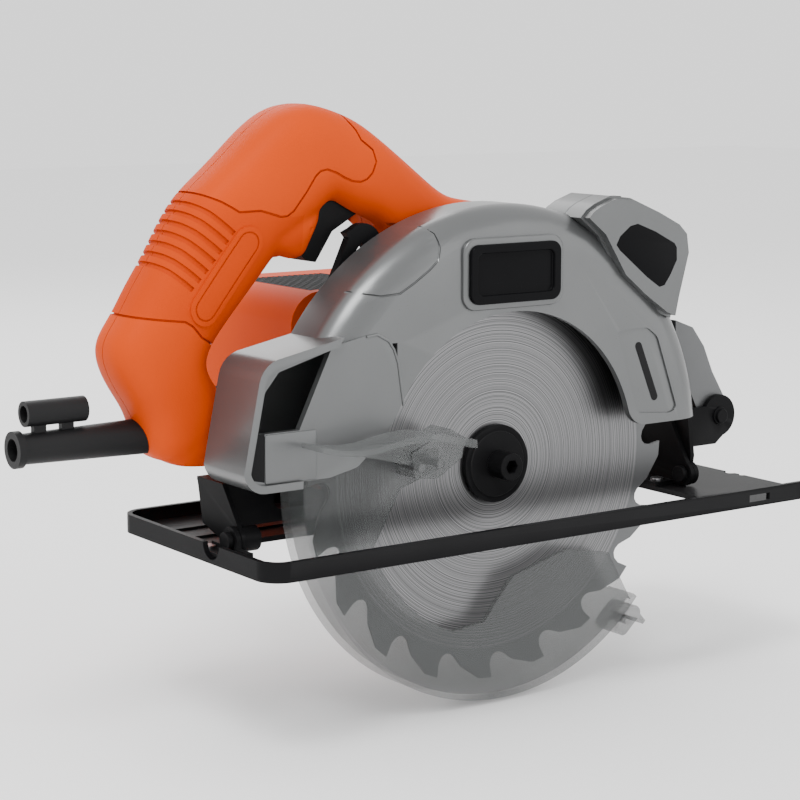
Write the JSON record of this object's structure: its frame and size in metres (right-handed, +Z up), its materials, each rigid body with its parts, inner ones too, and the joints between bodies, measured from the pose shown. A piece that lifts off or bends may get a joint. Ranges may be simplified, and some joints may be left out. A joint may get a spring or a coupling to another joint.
{
  "type": "circular saw",
  "caption": "Handheld circular saw with a tilting, height-adjustable shoe, swinging clear lower guard, side motor, top handle with trigger, line-marker housing and toothed blade.",
  "frame": {"origin": "on the sole, on the blade's cut line, straight below the arbor", "axes": "+X in the cutting direction, +Y towards the motor, +Z up from the sole"},
  "size_m": [0.3525, 0.157, 0.2474],
  "materials": {
    "black_steel": "satin black coated sheet steel",
    "zinc_steel": "zinc-plated steel",
    "blade_steel": "ground and lacquered saw steel",
    "guard_grey": "grey metallic paint on die-cast metal",
    "grey_plastic": "grey moulded plastic",
    "smoke_clear": "smoke-tinted clear moulded plastic",
    "black_plastic": "textured black plastic",
    "orange_plastic": "fine-textured orange plastic",
    "red_rubber": "soft overmould",
    "label_black": "gloss black panel",
    "cast_alloy": "die-cast alloy",
    "brass_part": "brass",
    "copper": "varnished copper wire",
    "carbon": "pressed carbon",
    "iron": "varnished laminated steel",
    "rubber_black": "black rubber"
  },
  "bodies": {
    "shoe": {"shoe": "black_steel", "front_quadrant": "black_steel", "rear_hinge_lug": "black_steel", "shoe_rivets": "zinc_steel"},
    "bevel_frame": {"front_bracket": "black_steel", "rear_depth_bracket": "black_steel", "bevel_pins": "zinc_steel", "bevel_lock_bolt": "zinc_steel", "depth_pivot_pin": "zinc_steel"},
    "bevel_knob": {"bevel_knob": "black_plastic"},
    "saw": {"depth_bolt": "zinc_steel", "depth_nut": "zinc_steel", "upper_guard": "guard_grey", "badge_plate": "label_black", "guard_screws": "zinc_steel", "gear_case": "cast_alloy", "gear_case_screws": "zinc_steel", "laser_housing_front": "grey_plastic", "laser_housing_rear": "grey_plastic", "laser_label": "label_black", "laser_module": "brass_part", "guard_spring": "zinc_steel", "guard_retainer": "zinc_steel", "spindle_front_bearing": "zinc_steel", "spindle_rear_bush": "brass_part", "armature_front_bearing": "zinc_steel", "armature_rear_bearing": "zinc_steel", "field_stator": "iron", "fan_baffle": "black_plastic", "motor_housing": "orange_plastic", "motor_end_cap": "black_plastic", "vent_grille": "black_plastic", "brush_holders": "brass_part", "carbon_brushes": "carbon", "brush_caps": "black_plastic", "handle_shell_right": "orange_plastic", "handle_shell_left": "orange_plastic", "handle_screws": "black_steel", "grip_pad": "red_rubber", "switch_body": "black_plastic", "cord_guard": "rubber_black"},
    "spindle": {"blade": "blade_steel", "inner_flange": "zinc_steel", "outer_flange": "black_steel", "arbor_bolt": "black_steel", "spindle": "zinc_steel", "spindle_gear": "iron"},
    "armature": {"armature_shaft": "zinc_steel", "armature_core": "iron", "armature_windings": "copper", "commutator": "copper", "cooling_fan": "black_plastic"},
    "lower_guard": {"lower_guard": "smoke_clear", "guard_lever": "smoke_clear", "guard_bumper": "smoke_clear", "guard_lever_screws": "zinc_steel"},
    "trigger": {"trigger": "black_plastic"},
    "depth_lever": {"depth_lever": "black_steel"},
    "spindle_lock": {"spindle_lock": "black_plastic"},
    "laser_switch": {"laser_switch": "black_plastic"}
  },
  "joints": [
    {"name": "bevel_tilt", "type": "hinge", "parent": "shoe", "child": "bevel_frame", "pos_m": [0, 0.005, 0.008], "axis": [1, 0, 0], "range_deg": [0, 45]},
    {"name": "bevel_knob_turn", "type": "hinge", "parent": "bevel_frame", "child": "bevel_knob", "pos_m": [0.12, 0.04187, 0.01719], "axis": [1, 0, 0], "range_deg": [-120, 0]},
    {"name": "depth_tilt", "type": "hinge", "parent": "bevel_frame", "child": "saw", "pos_m": [0.134, 0.014, 0.032], "axis": [0, 1, 0], "range_deg": [0, 24]},
    {"name": "blade_spin", "type": "hinge", "parent": "saw", "child": "spindle", "pos_m": [0, 0, 0.026], "axis": [0, 1, 0], "continuous": true},
    {"name": "armature_spin", "type": "hinge", "parent": "saw", "child": "armature", "pos_m": [-0.00951, 0.07, 0.04639], "axis": [0, 1, 0], "continuous": true},
    {"name": "lower_guard_swing", "type": "hinge", "parent": "saw", "child": "lower_guard", "pos_m": [0, 0, 0.026], "axis": [0, 1, 0], "range_deg": [0, 122], "stiffness_Nm_per_rad": 0.35, "springref_deg": -57.3},
    {"name": "trigger_pull", "type": "hinge", "parent": "saw", "child": "trigger", "pos_m": [-0.052, 0.035, 0.134], "axis": [0, 1, 0], "range_deg": [0, 9], "stiffness_Nm_per_rad": 1.2, "springref_deg": -11.46},
    {"name": "depth_lever_turn", "type": "hinge", "parent": "saw", "child": "depth_lever", "pos_m": [-0.05282, 0.018, 0.04016], "axis": [0, 1, 0], "range_deg": [0, 30]},
    {"name": "spindle_lock_press", "type": "slide", "parent": "saw", "child": "spindle_lock", "axis": [-1, 0, 0], "range_m": [0, 0.0025], "stiffness_N_per_m": 800, "springref_m": -0.003},
    {"name": "laser_switch_slide", "type": "slide", "parent": "saw", "child": "laser_switch", "axis": [1, 0, 0], "range_m": [0, 0.003]}
  ],
  "couplings": [
    {"joint": "armature_spin", "follows": "blade_spin", "ratio": -4.1429}
  ]
}
